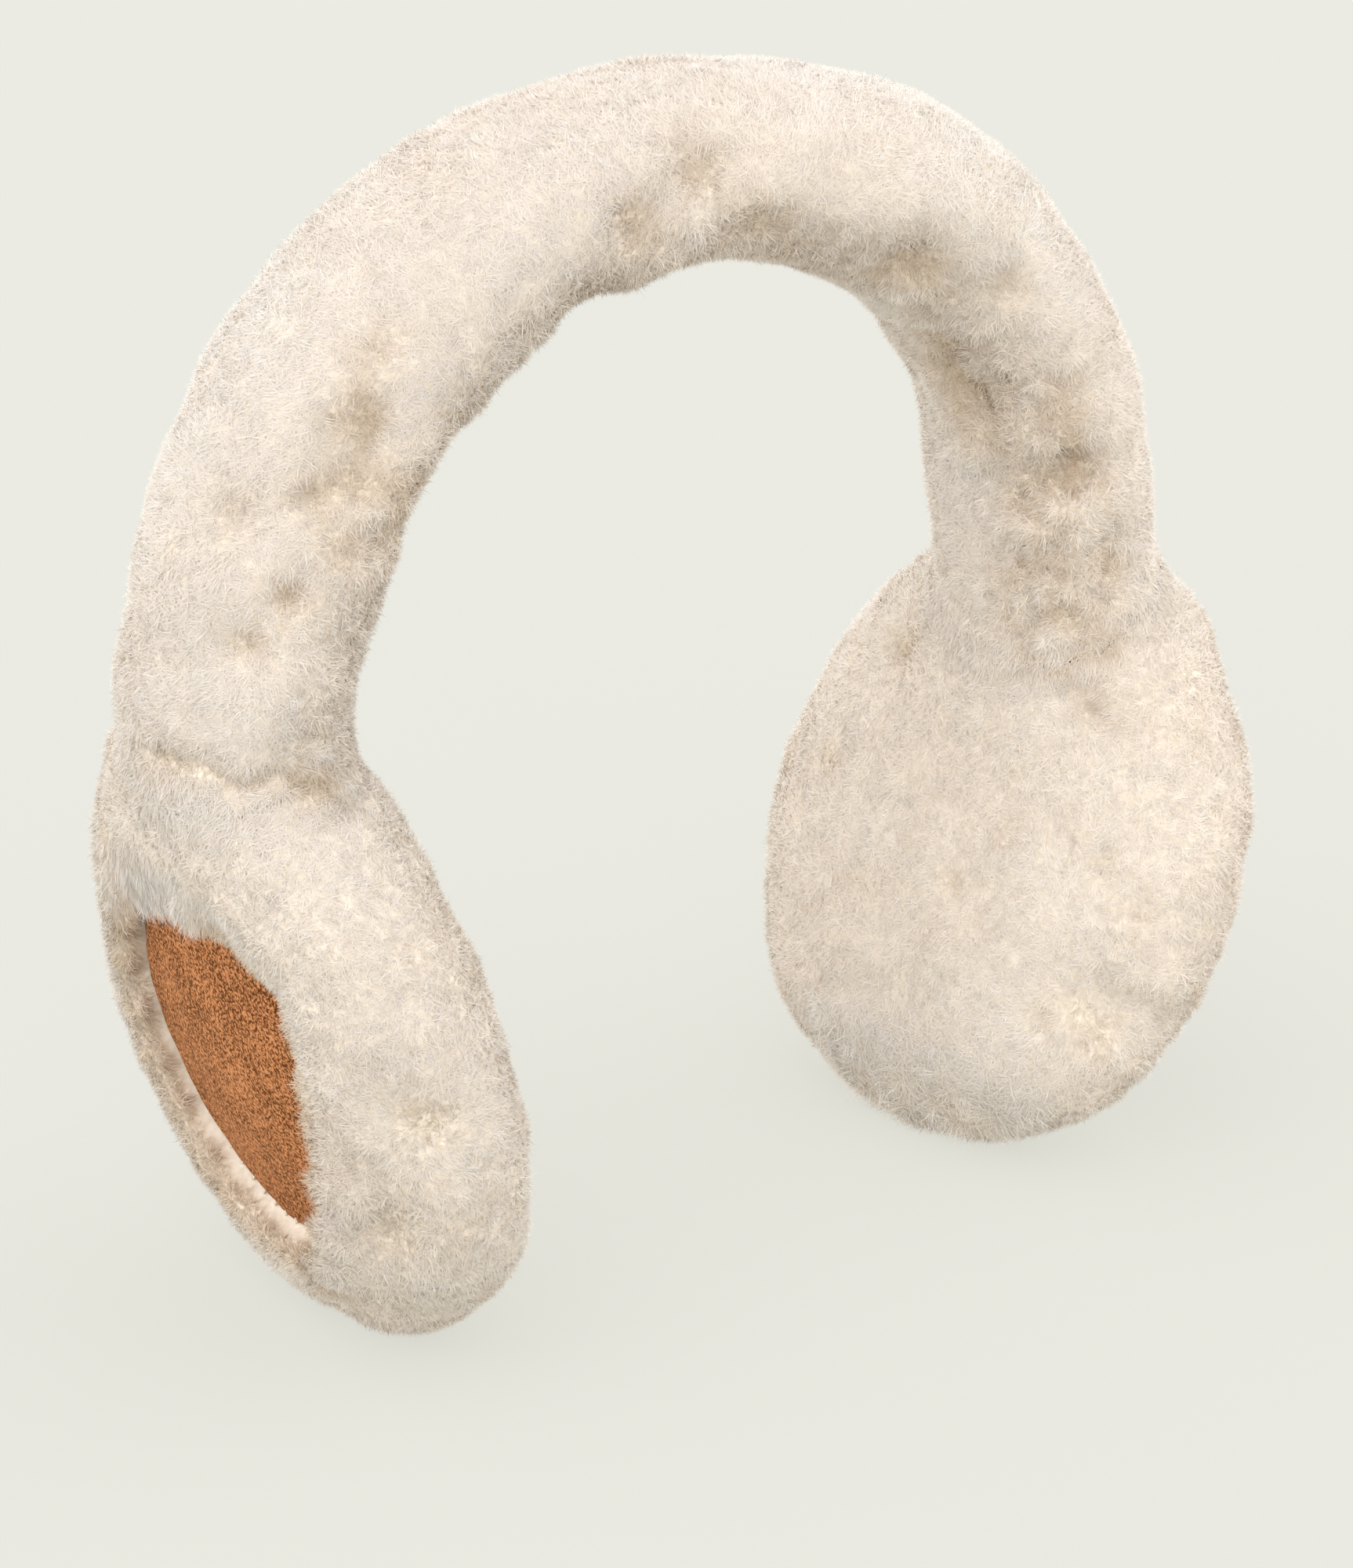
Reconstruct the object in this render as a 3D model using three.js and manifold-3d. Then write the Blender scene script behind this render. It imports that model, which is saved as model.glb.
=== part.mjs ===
// Fur earmuffs in sheared sheepskin: a fat curved headband that ends in two round fur cups,
// each with a domed suede disc let into its outer face. They stand upright on the cups.
// Millimetres: X runs across the head, Y from front to back, Z up from the floor
import * as THREE from 'three';
import { mergeVertices } from 'three/addons/utils/BufferGeometryUtils.js';
import Module from 'manifold-3d';

const wasm = await Module();
wasm.setup();

// Ear cups
const CUP_SPACING = 141; // between the two cup centres
const CUP_WIDTH = 103.4; // front to back
const CUP_HEIGHT = 109.6; // of its round form
const FOOT_LIFT = 3.6; // how much shorter the round form is at its foot
const CUP_THICKNESS = 40;
const CUP_ROUNDNESS = 2.31; // exponent of the rounded cross section, 2 would be an ellipse
const FLOOR_PRESS = 1.8; // how deep the pile under a cup is pressed flat where it stands

// Round opening in a cup's outer face, and the suede disc in it
const SUEDE_WIDTH = 60;
const SUEDE_EDGE = 3.2; // thickness at the turned edge
const SUEDE_DOME = 4.4; // rise of the padded middle over that edge
const SUEDE_FULLNESS = 0.8; // exponent of the dome's section, 0.5 would be an ellipse
const SUEDE_TURN = 1.2; // radius of the turned edge
const RECESS_DEPTH = 7.6; // from the fur rim's crest down to the disc's seat
const RIM_FLARE = 3; // how far the crest stands back from the opening's wall
const CREST_RADIUS = SUEDE_WIDTH / 2 + RIM_FLARE;
const SEAT_GAP = 0.3; // between pieces that touch

// Headband
const BAND_RISE = 83.4; // from the band's roots to the top of its centre line
const BAND_THICKNESS = 32.4; // across, towards the head
const BAND_DEPTH = 44.6; // front to back
const BAND_FORWARD = 3.5; // how far its middle plane stands in front of the cups' middle
const BAND_ROOT = 26; // length of centre line below the root, in the cup

// Pile: locks are the soft pads that the sheared fur parts into, tufts fringe the openings
const LOCK_LENGTH = 15;
const LOCK_WIDTH = 12.5;
const LOCK_RISE = 2.6;
const TUFT_WIDTH = 9.6;
const TUFT_THICKNESS = 3.6;
const TUFT_REACH = 8; // of the longest tufts, past the opening's edge and over the suede

// Form of a lock. ahead, aside: half its length and width, as shares of a row and of a place
// in it. stray: how far it strays from its place. least: height of the lowest. lean: how
// much fuller it is near its tip. mean: height that is taken off to keep the outline
const LOCK_FORM = { ahead: 0.78, aside: 0.72, stray: 0.4, least: 0.6, lean: 0.2, mean: 0.65 };

// Form of a tuft. root: how far outside the crest it starts, in widths. arch: how high it
// passes over the opening's edge, in thicknesses. droop: how far the tip hangs, in reaches.
// stray: how far it strays from its place. least, vary: range of the reach
const TUFT_FORM = { root: 0.7, arch: 0.25, droop: 0.35, stray: 0.3, least: 0.75, vary: 0.5 };

// Wall of the recess, from its mouth down. flare: share of the rim's flare. down: share of
// the depth
const RECESS_WALL = [
  { flare: 0.45, down: 0.08 },
  { flare: 0.08, down: 0.32 },
  { flare: 0, down: 0.6 },
  { flare: 0, down: 1 },
];

// Facets, and the steps in which curves are measured
const BAND_RINGS = 58;
const BAND_TURNS = 24;
const CUP_RINGS = 22;
const CUP_TURNS = 34;
const SUEDE_RINGS = 5;
const TUFT_SIDES = 5;
const TUFT_RINGS = [0, 0.4, 0.7, 0.94]; // places along a tuft, as shares of its length
const LINE_STEPS = 60;
const TURN_STEPS = 72;
const ARC_STEPS = 800;

// Where the cups stand. side: -1 left, +1 right. back: share of the cup's width.
// toeIn: degrees that the cup's foot leans inwards. turn: degrees that its face turns back.
// rootOut, rootUp: the band's root, as shares of the cup's thickness and height
const CUPS = [
  { name: 'left', side: -1, back: -0.0084, toeIn: 12.65, turn: 1.9, rootOut: 0.06, rootUp: 0.462 },
  { name: 'right', side: 1, back: 0.0084, toeIn: 20.4, turn: 3.4, rootOut: -0.34, rootUp: 0.434 },
];

// Sections of the headband, from its left root to its right root. across: share of the
// distance between the roots. up: share of the rise. thick, deep: shares of the full section
const BAND_SECTIONS = [
  { across: 0.0, up: 0.0, thick: 0.96, deep: 0.97 },
  { across: 0.036, up: 0.38, thick: 0.985, deep: 0.985 },
  { across: 0.14, up: 0.711, thick: 1.0, deep: 1.0 },
  { across: 0.306, up: 0.936, thick: 0.95, deep: 0.95 },
  { across: 0.512, up: 1.0, thick: 0.9, deep: 0.9 },
  { across: 0.719, up: 0.922, thick: 0.95, deep: 0.95 },
  { across: 0.882, up: 0.711, thick: 0.96, deep: 0.96 },
  { across: 0.977, up: 0.383, thick: 0.955, deep: 0.955 },
  { across: 1.0, up: 0.0, thick: 0.98, deep: 0.97 },
];

// How the band tucks into a cup. down: share of the root's length. size: share of the section
const BAND_TUCK = [
  { down: 0.22, size: 0.86 },
  { down: 0.55, size: 0.6 },
  { down: 1.0, size: 0.45 },
];

// Partings and hollows in the band's pile. along: share of the centre line from its left
// end. turn: degrees round the section from the outer side over the front. long, wide,
// deep: shares of the band's thickness. A negative deep is a swelling
const BAND_DENTS = [
  { along: 0.16, turn: 55, long: 0.1, wide: 0.22, deep: 0.08 },
  { along: 0.15, turn: 66, long: 0.12, wide: 0.16, deep: -0.05 },
  { along: 0.185, turn: 66, long: 0.09, wide: 0.1, deep: 0.07 },
  { along: 0.211, turn: 30, long: 0.1, wide: 0.32, deep: 0.06 },
  { along: 0.216, turn: 86, long: 0.1, wide: 0.14, deep: 0.06 },
  { along: 0.23, turn: 58, long: 0.12, wide: 0.14, deep: 0.08 },
  { along: 0.262, turn: 73, long: 0.34, wide: 0.17, deep: 0.12 },
  { along: 0.287, turn: 57, long: 0.16, wide: 0.18, deep: -0.05 },
  { along: 0.305, turn: 56, long: 0.1, wide: 0.17, deep: 0.07 },
  { along: 0.438, turn: 97, long: 0.24, wide: 0.15, deep: 0.09 },
  { along: 0.475, turn: 77, long: 0.24, wide: 0.22, deep: 0.1 },
  { along: 0.52, turn: 113, long: 0.15, wide: 0.14, deep: 0.06 },
  { along: 0.633, turn: 122, long: 0.3, wide: 0.2, deep: 0.06 },
  { along: 0.688, turn: 105, long: 0.15, wide: 0.2, deep: 0.07 },
  { along: 0.71, turn: 163, long: 0.1, wide: 0.4, deep: 0.06 },
  { along: 0.76, turn: 163, long: 0.32, wide: 0.19, deep: 0.1 },
  { along: 0.801, turn: 140, long: 0.34, wide: 0.34, deep: -0.06 },
  { along: 0.827, turn: 118, long: 0.12, wide: 0.34, deep: 0.1 },
  { along: 0.841, turn: 147, long: 0.1, wide: 0.14, deep: 0.06 },
  { along: 0.862, turn: 136, long: 0.16, wide: 0.24, deep: -0.05 },
  { along: 0.88, turn: 133, long: 0.12, wide: 0.5, deep: 0.05 },
  { along: 0.34, turn: 282, long: 0.32, wide: 0.17, deep: 0.1 },
  { along: 0.58, turn: 262, long: 0.2, wide: 0.24, deep: 0.09 },
  { along: 0.78, turn: 290, long: 0.12, wide: 0.36, deep: 0.1 },
];

// Dimples and swellings of each cup's pile. along: share of the skin from the inner face's
// middle to the rim's crest. turn: degrees round the cup's axis, 90 at the top. long, wide,
// deep: shares of the cup's width
const CUP_DENTS = {
  left: [
    { along: 0.64, turn: 90, long: 0.16, wide: 0.27, deep: -0.045 },
    { along: 0.83, turn: 90, long: 0.13, wide: 0.26, deep: -0.055 },
    { along: 0.767, turn: 5, long: 0.1, wide: 0.1, deep: 0.035 },
    { along: 0.871, turn: 342, long: 0.06, wide: 0.09, deep: 0.03 },
    { along: 0.97, turn: 286, long: 0.07, wide: 0.05, deep: 0.03 },
    { along: 0.9, turn: 302, long: 0.07, wide: 0.05, deep: 0.03 },
  ],
  right: [
    { along: 0.46, turn: 90, long: 0.17, wide: 0.28, deep: -0.05 },
    { along: 0.78, turn: 90, long: 0.14, wide: 0.24, deep: -0.03 },
    { along: 0.362, turn: 56, long: 0.05, wide: 0.07, deep: 0.03 },
    { along: 0.44, turn: 133, long: 0.05, wide: 0.06, deep: 0.02 },
    { along: 0.535, turn: 203, long: 0.08, wide: 0.06, deep: 0.025 },
    { along: 0.63, turn: 203, long: 0.1, wide: 0.06, deep: 0.025 },
    { along: 0.5, turn: 312, long: 0.15, wide: 0.2, deep: -0.03 },
  ],
};

// How far the tufts reach over the suede, as a share of the longest. turn: degrees round
// the disc, 90 at the top
const TUFT_REACHES = [
  { turn: 0, reach: 0.4 },
  { turn: 50, reach: 0.7 },
  { turn: 90, reach: 1.0 },
  { turn: 130, reach: 0.75 },
  { turn: 180, reach: 0.45 },
  { turn: 270, reach: 0.15 },
  { turn: 360, reach: 0.4 },
];

const FUR = { color: 0xe4d7c6, roughness: 1.0, metalness: 0.0 };
const SUEDE = { color: 0xa9703f, roughness: 0.95, metalness: 0.0 };

const { sin, cos, max, min, round, floor, sqrt, abs, PI } = Math;
const radians = THREE.MathUtils.degToRad;
const lerp = THREE.MathUtils.lerp;

// A whole number in, a fixed scattered share from 0 to 1 out
function scatter(seed) {
  const wave = sin(seed * 12.9898 + 78.233) * 43758.5453;
  return wave - floor(wave);
}

// Closed skin over a stack of rings, with one point closing each end
function skinOver(rings, start, end) {
  const turns = rings[0].length;
  const places = [start, ...rings.flat(), end];
  const faces = [];
  const at = (ring, k) => 1 + ring * turns + (k % turns);
  for (let k = 0; k < turns; k++) {
    faces.push(0, at(0, k + 1), at(0, k));
    for (let ring = 0; ring + 1 < rings.length; ring++) {
      faces.push(at(ring, k), at(ring, k + 1), at(ring + 1, k + 1));
      faces.push(at(ring, k), at(ring + 1, k + 1), at(ring + 1, k));
    }
    faces.push(places.length - 1, at(rings.length - 1, k), at(rings.length - 1, k + 1));
  }
  const skin = new THREE.BufferGeometry();
  skin.setAttribute('position', new THREE.Float32BufferAttribute(places.flatMap((p) => p.toArray()), 3));
  skin.setIndex(faces);
  return skin;
}

// To and from the solids that can be joined and cut
function solidOf(skin) {
  return new wasm.Manifold(new wasm.Mesh({
    numProp: 3,
    vertProperties: new Float32Array(skin.attributes.position.array),
    triVerts: new Uint32Array(skin.index.array),
  }));
}

function skinOf(solid) {
  const { numProp, vertProperties, triVerts } = solid.getMesh();
  const places = [];
  for (let i = 0; i < vertProperties.length; i += numProp) places.push(...vertProperties.slice(i, i + 3));
  const skin = new THREE.BufferGeometry();
  skin.setAttribute('position', new THREE.Float32BufferAttribute(places, 3));
  skin.setIndex(Array.from(triVerts));
  return skin;
}

// Height of the pile's locks, 0 to 1, at a place along and round a furry skin: rows of soft
// pads in brick order, each fullest near its tip
function lockHeight(along, turnShare, length, girthAt, seed) {
  const { stray, least, lean } = LOCK_FORM;
  const rows = max(2, round(length / LOCK_LENGTH));
  const place = (along / length) * rows;
  let height = 0;
  for (let row = max(0, floor(place) - 1); row <= min(rows - 1, floor(place) + 1); row++) {
    const count = max(3, round(girthAt(((row + 0.5) / rows) * length) / LOCK_WIDTH));
    const slot = turnShare * count + (row % 2) / 2;
    for (let k = floor(slot) - 1; k <= floor(slot) + 1; k++) {
      const id = seed + row * 61 + (((k % count) + count) % count);
      const ahead = (place - row - 0.5 - stray * (scatter(id) - 0.5)) / LOCK_FORM.ahead;
      const aside = (slot - k - 0.5 - stray * (scatter(id + 0.31) - 0.5)) / LOCK_FORM.aside;
      const full = lerp(least, 1, scatter(id + 0.67)) * (1 + lean * ahead);
      height = max(height, full * sqrt(max(0, 1 - ahead ** 2 - aside ** 2)));
    }
  }
  return height;
}

// Depth of the dents at a place, as a share of the size that their table follows
function dentDepth(dents, along, turnShare, length, girth, size) {
  let depth = 0;
  for (const dent of dents) {
    const apart = abs(turnShare - dent.turn / 360);
    const ahead = ((along - dent.along) * length) / (dent.long * size);
    const aside = (min(apart, 1 - apart) * girth) / (dent.wide * size);
    depth += dent.deep * Math.exp(-(ahead ** 2 + aside ** 2));
  }
  return depth * size;
}

// Section of a cup's fur from its inner middle over the rim to the crest round the opening:
// x is the radius, y is outwards
function cupLine() {
  const power = 2 / CUP_ROUNDNESS;
  const last = Math.acos((CREST_RADIUS / (CUP_WIDTH / 2)) ** (1 / power));
  const points = [];
  for (let k = 0; k <= LINE_STEPS; k++) {
    const tip = lerp(-PI / 2, last, k / LINE_STEPS);
    const out = Math.sign(sin(tip)) * abs(sin(tip)) ** power * (CUP_THICKNESS / 2);
    points.push(new THREE.Vector2(max(0, cos(tip)) ** power * (CUP_WIDTH / 2), out));
  }
  return new THREE.SplineCurve(points);
}
const crestOut = cupLine().getPointAt(1).y;
const seatOut = crestOut - RECESS_DEPTH;

// A place on a cup or its disc, in the cup's own frame: X is the axis, out of the outer face.
// Outside the crest the fur is shorter towards the foot
function cupPlace(out, radius, angle) {
  const outside = max(0, radius - CREST_RADIUS) / (CUP_WIDTH / 2 - CREST_RADIUS);
  const lift = FOOT_LIFT * outside * min(0, sin(angle)) ** 2;
  const up = radius * sin(angle) * (CUP_HEIGHT / CUP_WIDTH) + lift;
  return new THREE.Vector3(out, radius * cos(angle), up);
}

// Rings of one cup's fur from its inner face to the crest, proud of the skin by a clearance
function furRings(cup, proud) {
  const line = cupLine();
  const length = line.getLength();
  const girthAt = (along) => 2 * PI * line.getPointAt(min(1, along / length)).x;
  const dents = CUP_DENTS[cup.name];
  const rings = [];
  for (let i = 1; i <= CUP_RINGS; i++) {
    const share = i / CUP_RINGS;
    const along = share * length;
    const point = line.getPointAt(share);
    const slope = line.getTangentAt(share);
    rings.push(Array.from({ length: CUP_TURNS }, (_, k) => {
      const turnShare = k / CUP_TURNS;
      const locks = lockHeight(along, turnShare, length, girthAt, cup.side * 500) - LOCK_FORM.mean;
      const depth = dentDepth(dents, share, turnShare, length, girthAt(along), CUP_WIDTH);
      const lift = locks * LOCK_RISE * min(1, point.x / LOCK_WIDTH) - depth + proud;
      return cupPlace(point.y - slope.x * lift, point.x + slope.y * lift, turnShare * 2 * PI);
    }));
  }
  return rings;
}

// Fur of one cup, with the round recess in its outer face
function cupSkin(cup) {
  const rings = furRings(cup, 0);
  const wall = SUEDE_WIDTH / 2 + SEAT_GAP;
  for (const { flare, down } of RECESS_WALL) {
    const out = crestOut - down * RECESS_DEPTH;
    rings.push(Array.from({ length: CUP_TURNS }, (_, k) => (
      cupPlace(out, wall + flare * RIM_FLARE, (k / CUP_TURNS) * 2 * PI))));
  }
  return skinOver(rings, new THREE.Vector3(-CUP_THICKNESS / 2, 0, 0), new THREE.Vector3(seatOut, 0, 0));
}

// The same cup with no recess, proud by a clearance
function cupCover(cup, proud) {
  const inner = new THREE.Vector3(-CUP_THICKNESS / 2 - proud, 0, 0);
  return skinOver(furRings(cup, proud), inner, new THREE.Vector3(CUP_THICKNESS / 2, 0, 0));
}

// Height of the suede over its seat, at a share of its radius
const suedeHeight = (share) => SUEDE_EDGE + SUEDE_DOME * (1 - share ** 2) ** SUEDE_FULLNESS;

// Domed suede disc with a turned edge
function suedeSkin() {
  const radius = SUEDE_WIDTH / 2;
  const under = seatOut + SEAT_GAP;
  const edge = seatOut + SUEDE_EDGE - SUEDE_TURN;
  const rim = [[radius - SUEDE_TURN, under], [radius, under + SUEDE_TURN], [radius, edge]];
  for (let k = 0; k < SUEDE_RINGS; k++) {
    const share = (1 - SUEDE_TURN / radius) * (1 - k / SUEDE_RINGS);
    rim.push([share * radius, seatOut + suedeHeight(share)]);
  }
  const rings = rim.map(([r, out]) => (
    Array.from({ length: CUP_TURNS }, (_, k) => cupPlace(out, r, (k / CUP_TURNS) * 2 * PI))));
  const top = new THREE.Vector3(seatOut + suedeHeight(0), 0, 0);
  return skinOver(rings, new THREE.Vector3(under, 0, 0), top);
}

// One row of a table by its turn, worked out between the rows on either side
function reachAt(turn) {
  const next = TUFT_REACHES.findIndex((row) => row.turn >= turn);
  if (next < 1) return TUFT_REACHES[0].reach;
  const [a, b] = [TUFT_REACHES[next - 1], TUFT_REACHES[next]];
  return lerp(a.reach, b.reach, (turn - a.turn) / (b.turn - a.turn));
}

// Tapered tufts that root in the rim's crest and lean in over the suede's edge, proud of
// their own size by a clearance
function* tuftSkins(cup, proud) {
  const { root, arch, droop, stray, least, vary } = TUFT_FORM;
  const edge = SUEDE_WIDTH / 2;
  const count = round((2 * PI * CREST_RADIUS) / TUFT_WIDTH);
  for (let k = 0; k < count; k++) {
    const share = (k + stray * scatter(k + cup.side * 40)) / count;
    const around = share * 2 * PI;
    const aside = new THREE.Vector3(0, -sin(around), cos(around));
    // The discs face opposite ways, so the left cup's turn runs from the other side
    const turn = (cup.side > 0 ? share : 1.5 - share) * 360 % 360;
    const reach = TUFT_REACH * reachAt(turn) * (least + vary * scatter(k + cup.side * 90));
    const suede = seatOut + suedeHeight(max(0, 1 - reach / edge));
    const clear = suede + SEAT_GAP + TUFT_THICKNESS / 2;
    const line = new THREE.QuadraticBezierCurve(
      new THREE.Vector2(CREST_RADIUS + TUFT_WIDTH * root, crestOut - TUFT_THICKNESS),
      new THREE.Vector2(edge, crestOut + TUFT_THICKNESS * arch),
      new THREE.Vector2(edge - reach, max(clear, crestOut - droop * reach)),
    );
    const rings = TUFT_RINGS.map((at) => {
      const point = line.getPointAt(at);
      const slope = line.getTangentAt(at);
      const full = sqrt(1 - at ** 3);
      return Array.from({ length: TUFT_SIDES }, (_, s) => {
        const angle = (s / TUFT_SIDES) * 2 * PI;
        const wide = cos(angle) * ((TUFT_WIDTH / 2) * full + proud);
        const thick = sin(angle) * ((TUFT_THICKNESS / 2) * full + proud);
        const place = cupPlace(point.y + slope.x * thick, point.x - slope.y * thick, around);
        return place.addScaledVector(aside, wide);
      });
    });
    const [start, end] = [line.getPointAt(0), line.getPointAt(1)];
    yield skinOver(rings, cupPlace(start.y, start.x, around), cupPlace(end.y, end.x, around));
  }
}

// Frame of a cup: its outer face looks away from the head and its foot leans in, as low as
// presses the pile flat on the floor
function cupFrame(cup) {
  const frame = new THREE.Group();
  frame.rotation.set(0, cup.side * radians(cup.toeIn), cup.side * radians(cup.turn), 'ZYX');
  const facing = new THREE.Group();
  facing.rotation.z = cup.side < 0 ? PI : 0;
  frame.add(facing);
  frame.updateMatrixWorld(true);
  let lowest = 0;
  for (const point of cupLine().getSpacedPoints(LINE_STEPS)) {
    for (let k = 0; k < TURN_STEPS; k++) {
      const place = cupPlace(point.y, point.x, (k / TURN_STEPS) * 2 * PI);
      lowest = min(lowest, place.applyMatrix4(facing.matrixWorld).z);
    }
  }
  frame.position.set(cup.side * (CUP_SPACING / 2), cup.back * CUP_WIDTH, -lowest - FLOOR_PRESS);
  frame.updateMatrixWorld(true);
  return { frame, facing };
}

// Centre line of the headband, and the size of its section along it: x thick, y deep
function bandLine([left, right]) {
  const places = BAND_SECTIONS.map(({ across, up }) => (
    left.root.clone().lerp(right.root, across).add(new THREE.Vector3(0, 0, up * BAND_RISE))));
  const tucked = ({ root, end }) => BAND_TUCK.map(({ down }) => root.clone().lerp(end, down));
  const stations = [...tucked(left).reverse(), ...places, ...tucked(right)];
  const tuckSizes = BAND_TUCK.map(({ size }) => ({ thick: size, deep: size }));
  const sizes = [...tuckSizes.toReversed(), ...BAND_SECTIONS, ...tuckSizes];
  return {
    line: new THREE.CatmullRomCurve3(stations, false, 'centripetal'),
    section: new THREE.SplineCurve(sizes.map(({ thick, deep }) => new THREE.Vector2(thick, deep))),
  };
}

// Fur sleeve of the headband
function bandSkin(roots) {
  const { line, section } = bandLine(roots);
  line.arcLengthDivisions = ARC_STEPS;
  const length = line.getLength();
  const girth = PI * (BAND_THICKNESS + BAND_DEPTH) / 2;
  const rings = [];
  for (let i = 0; i <= BAND_RINGS; i++) {
    const share = i / BAND_RINGS;
    const centre = line.getPointAt(share);
    const ahead = line.getTangentAt(share);
    const size = section.getPoint(line.getUtoTmapping(share));
    const outer = new THREE.Vector3(-ahead.z, 0, ahead.x).normalize();
    const front = new THREE.Vector3(0, -1, 0);
    rings.push(Array.from({ length: BAND_TURNS }, (_, k) => {
      const turnShare = k / BAND_TURNS;
      const angle = turnShare * 2 * PI;
      const locks = lockHeight(share * length, turnShare, length, () => girth, 0) - LOCK_FORM.mean;
      const depth = dentDepth(BAND_DENTS, share, turnShare, length, girth, BAND_THICKNESS);
      const lift = locks * LOCK_RISE - depth;
      return centre.clone()
        .addScaledVector(outer, ((size.x * BAND_THICKNESS) / 2 + lift) * cos(angle))
        .addScaledVector(front, ((size.y * BAND_DEPTH) / 2 + lift) * sin(angle));
    }));
  }
  return skinOver(rings, line.getPointAt(0), line.getPointAt(1));
}

// The root on the cup's skin, and the end of the centre line inside the cup
function bandRoots(cup, facing) {
  const up = cup.rootUp * CUP_HEIGHT;
  const root = new THREE.Vector3(cup.rootOut * CUP_THICKNESS, 0, up);
  const end = new THREE.Vector3((cup.rootOut * CUP_THICKNESS) / 4, 0, up - BAND_ROOT);
  for (const place of [root, end]) {
    place.applyMatrix4(facing.matrixWorld);
    place.y = -BAND_FORWARD;
  }
  return { root, end };
}

function furMesh(name, skin) {
  skin.computeVertexNormals();
  const mesh = new THREE.Mesh(skin, new THREE.MeshStandardMaterial(FUR));
  mesh.name = name;
  return mesh;
}

// Block under the floor, which flattens what stands on it
function underFloor() {
  const side = CUP_SPACING + 2 * CUP_HEIGHT;
  const block = new THREE.BoxGeometry(side, side, CUP_HEIGHT).translate(0, 0, -CUP_HEIGHT / 2);
  block.deleteAttribute('normal');
  block.deleteAttribute('uv');
  return solidOf(mergeVertices(block));
}

// Skins in a cup's own frame, fused into one solid where the cup stands
function standingSolid(skins, facing) {
  const solids = skins.map((skin) => solidOf(skin.applyMatrix4(facing.matrixWorld)));
  return solids.reduce((whole, solid) => whole.add(solid));
}

const earmuffs = new THREE.Group();
const roots = [];
const seats = [];
for (const cup of CUPS) {
  const { frame, facing } = cupFrame(cup);
  roots.push(bandRoots(cup, facing));
  seats.push(standingSolid([cupCover(cup, SEAT_GAP), ...tuftSkins(cup, SEAT_GAP)], facing));
  const standing = standingSolid([cupSkin(cup), ...tuftSkins(cup, 0)], facing).subtract(underFloor());
  const skin = skinOf(standing).applyMatrix4(facing.matrixWorld.clone().invert());
  facing.add(furMesh(`${cup.name}_ear_cup`, skin));
  const disc = new THREE.Mesh(suedeSkin(), new THREE.MeshStandardMaterial(SUEDE));
  disc.geometry.computeVertexNormals();
  disc.name = `${cup.name}_suede_disc`;
  facing.add(disc);
  earmuffs.add(frame);
}
const sleeve = seats.reduce((solid, seat) => solid.subtract(seat), solidOf(bandSkin(roots)));
earmuffs.add(furMesh('headband_sleeve', skinOf(sleeve)));

// The origin is on the floor, under the middle of the outline
const outline = new THREE.Box3().setFromObject(earmuffs, true);
const middle = outline.getCenter(new THREE.Vector3());
earmuffs.position.set(-middle.x, -middle.y, 0);

export default earmuffs;
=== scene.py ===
# Looks of the fur earmuffs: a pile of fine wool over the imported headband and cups, and suede
# discs with their stitches. Sizes are in metres, from the part's own frame
import math
from collections import namedtuple

import bmesh
import bpy
import numpy as np
from mathutils import Matrix, Vector
from mathutils.bvhtree import BVHTree


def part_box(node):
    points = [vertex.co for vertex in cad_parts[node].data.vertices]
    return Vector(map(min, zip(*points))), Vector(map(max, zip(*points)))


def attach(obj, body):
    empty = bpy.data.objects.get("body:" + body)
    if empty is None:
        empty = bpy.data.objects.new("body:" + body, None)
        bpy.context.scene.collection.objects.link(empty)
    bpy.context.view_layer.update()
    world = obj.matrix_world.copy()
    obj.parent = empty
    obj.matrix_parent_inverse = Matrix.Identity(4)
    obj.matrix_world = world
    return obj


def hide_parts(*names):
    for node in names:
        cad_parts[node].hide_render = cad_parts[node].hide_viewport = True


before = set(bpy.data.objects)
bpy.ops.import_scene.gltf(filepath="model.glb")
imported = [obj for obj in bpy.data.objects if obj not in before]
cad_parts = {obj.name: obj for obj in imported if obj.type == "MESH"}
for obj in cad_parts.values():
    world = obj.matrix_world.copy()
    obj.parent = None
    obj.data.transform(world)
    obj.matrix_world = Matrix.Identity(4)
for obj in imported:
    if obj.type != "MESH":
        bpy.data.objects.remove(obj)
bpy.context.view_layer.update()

MM = 0.001
BAND = "headband_sleeve"
FUR_NODES = (BAND, "left_ear_cup", "right_ear_cup")

# Camera, at the photograph's viewing angle
CAMERA_AZIMUTH = -34.57
CAMERA_ELEVATION = 21.5
CAMERA_ROLL = -0.25
CAMERA_DISTANCE = 850 * MM
CAMERA_AIM = Vector((-8.22, -13.48, 80.14)) * MM
CAMERA_LENS = 120.8  # in millimetres, for a sensor 36 high
SENSOR_HEIGHT = 36

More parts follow.
